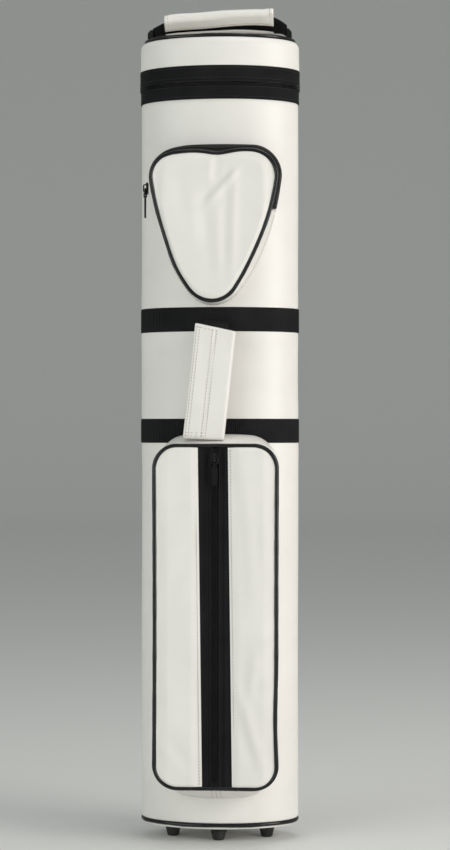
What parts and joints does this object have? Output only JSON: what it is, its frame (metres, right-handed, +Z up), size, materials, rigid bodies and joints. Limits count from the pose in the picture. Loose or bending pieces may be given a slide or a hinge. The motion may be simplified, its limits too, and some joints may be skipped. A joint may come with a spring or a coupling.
{
  "type": "cue case",
  "caption": "Upright oval hard case for billiard cues with a zipped flip-up lid, zipped front pockets, webbing bands, carry handles and rubber feet.",
  "frame": {"origin": "on the floor, under the middle of the object's box", "axes": "+Z up along the case, -Y towards the pockets, X across the oval"},
  "size_m": [0.1702, 0.1466, 0.8776],
  "materials": {
    "white_leatherette": "soft sheen, fine grain",
    "black_piping": "soft sheen",
    "black_webbing": "ribbed weave",
    "black_zip": "matte weave with nylon coil",
    "shell_plastic": "matte",
    "base_board": "bare fibreboard",
    "foam": "closed-cell foam",
    "lining": "short nap",
    "tube_plastic": "matte, flocked inside",
    "foot_rubber": "matte",
    "screw_steel": "zinc plated",
    "black_metal": "satin",
    "pull_rubber": "satin, on a wire ring",
    "ring_metal": "satin"
  },
  "bodies": {
    "case": {"body_core": "shell_plastic", "body_cover": "white_leatherette", "bottom_piping": "black_piping", "bottom_panel": "white_leatherette", "bottom_board": "base_board", "base_pad": "foam", "mouth_lining": "lining", "rubber_feet": "foot_rubber", "foot_screws": "screw_steel", "butt_tube_left": "tube_plastic", "butt_tube_middle": "tube_plastic", "butt_tube_right": "tube_plastic", "shaft_tube_1": "tube_plastic", "shaft_tube_2": "tube_plastic", "shaft_tube_3": "tube_plastic", "shaft_tube_4": "tube_plastic", "shaft_tube_5": "tube_plastic", "mouth_plate": "foam", "body_zip": "black_zip", "body_hinge_tape": "black_zip", "upper_band": "black_webbing", "lower_band": "black_webbing", "upper_pocket_gusset": "white_leatherette", "upper_zip": "black_zip", "upper_pocket_panel": "white_leatherette", "upper_pocket_piping": "black_piping", "lower_pocket_gusset": "white_leatherette", "lower_panel_left": "white_leatherette", "lower_panel_right": "white_leatherette", "lower_zip_left": "black_zip", "lower_zip_right": "black_zip", "lower_pocket_piping": "black_piping", "side_anchor_upper": "black_webbing", "side_anchor_lower": "black_webbing", "ring_loop_upper": "black_webbing", "ring_loop_lower": "black_webbing", "upper_slider": "black_metal", "lid_slider": "black_metal"},
    "lid": {"lid_core": "shell_plastic", "lid_cover": "white_leatherette", "lid_top_panel": "white_leatherette", "top_piping": "black_piping", "lid_lining": "lining", "lid_pad": "foam", "lid_zip": "black_zip", "lid_hinge_tape": "black_zip", "top_anchor_left": "black_webbing", "top_anchor_right": "black_webbing"},
    "top_handle": {"top_strap": "black_webbing", "top_wrap": "white_leatherette"},
    "side_handle": {"side_strap": "black_webbing", "side_wrap": "white_leatherette"},
    "side_flap": {"side_flap": "white_leatherette"},
    "lower_slider": {"lower_slider": "black_metal"},
    "lower_pull": {"lower_pull": "pull_rubber"},
    "upper_pull": {"upper_pull": "pull_rubber"},
    "lid_pull": {"lid_pull": "pull_rubber"},
    "d_ring_upper": {"d_ring_upper": "ring_metal"},
    "d_ring_lower": {"d_ring_lower": "ring_metal"}
  },
  "joints": [
    {"name": "lid_hinge", "type": "hinge", "parent": "case", "child": "lid", "pos_m": [0, 0.0682, 0.796], "axis": [-1, 0, 0], "range_deg": [0, 110]},
    {"name": "top_handle_swing", "type": "hinge", "parent": "lid", "child": "top_handle", "pos_m": [0, 0.0147, 0.852], "axis": [1, 0, 0], "range_deg": [0, 50]},
    {"name": "side_handle_swing", "type": "hinge", "parent": "case", "child": "side_handle", "pos_m": [-0.0055, -0.0403, 0.4845], "axis": [0.108, 0, 0.9942], "range_deg": [-25, 4]},
    {"name": "side_flap_peel", "type": "hinge", "parent": "side_handle", "child": "side_flap", "pos_m": [-0.0053, -0.05905, 0.48448], "axis": [0.108, 0, 0.9942], "range_deg": [0, 105]},
    {"name": "lower_zip_slide", "type": "slide", "parent": "case", "child": "lower_slider", "axis": [0, 0, -1], "range_m": [0, 0.318]},
    {"name": "lower_pull_swing", "type": "hinge", "parent": "lower_slider", "child": "lower_pull", "pos_m": [0, -0.0709, 0.4041], "axis": [-1, 0, 0], "range_deg": [0, 80]},
    {"name": "upper_pull_swing", "type": "hinge", "parent": "case", "child": "upper_pull", "pos_m": [-0.0739, -0.0453, 0.6841], "axis": [0, 1, 0], "range_deg": [0, 80]},
    {"name": "lid_pull_swing", "type": "hinge", "parent": "case", "child": "lid_pull", "pos_m": [-0.04631, 0.06152, 0.7891], "axis": [0.9366, 0.3504, 0], "range_deg": [0, 80]},
    {"name": "d_ring_upper_swing", "type": "hinge", "parent": "case", "child": "d_ring_upper", "pos_m": [0, 0.0698, 0.5534], "axis": [1, 0, 0], "range_deg": [0, 125]},
    {"name": "d_ring_lower_swing", "type": "hinge", "parent": "case", "child": "d_ring_lower", "pos_m": [0, 0.0698, 0.4368], "axis": [1, 0, 0], "range_deg": [0, 125]}
  ]
}
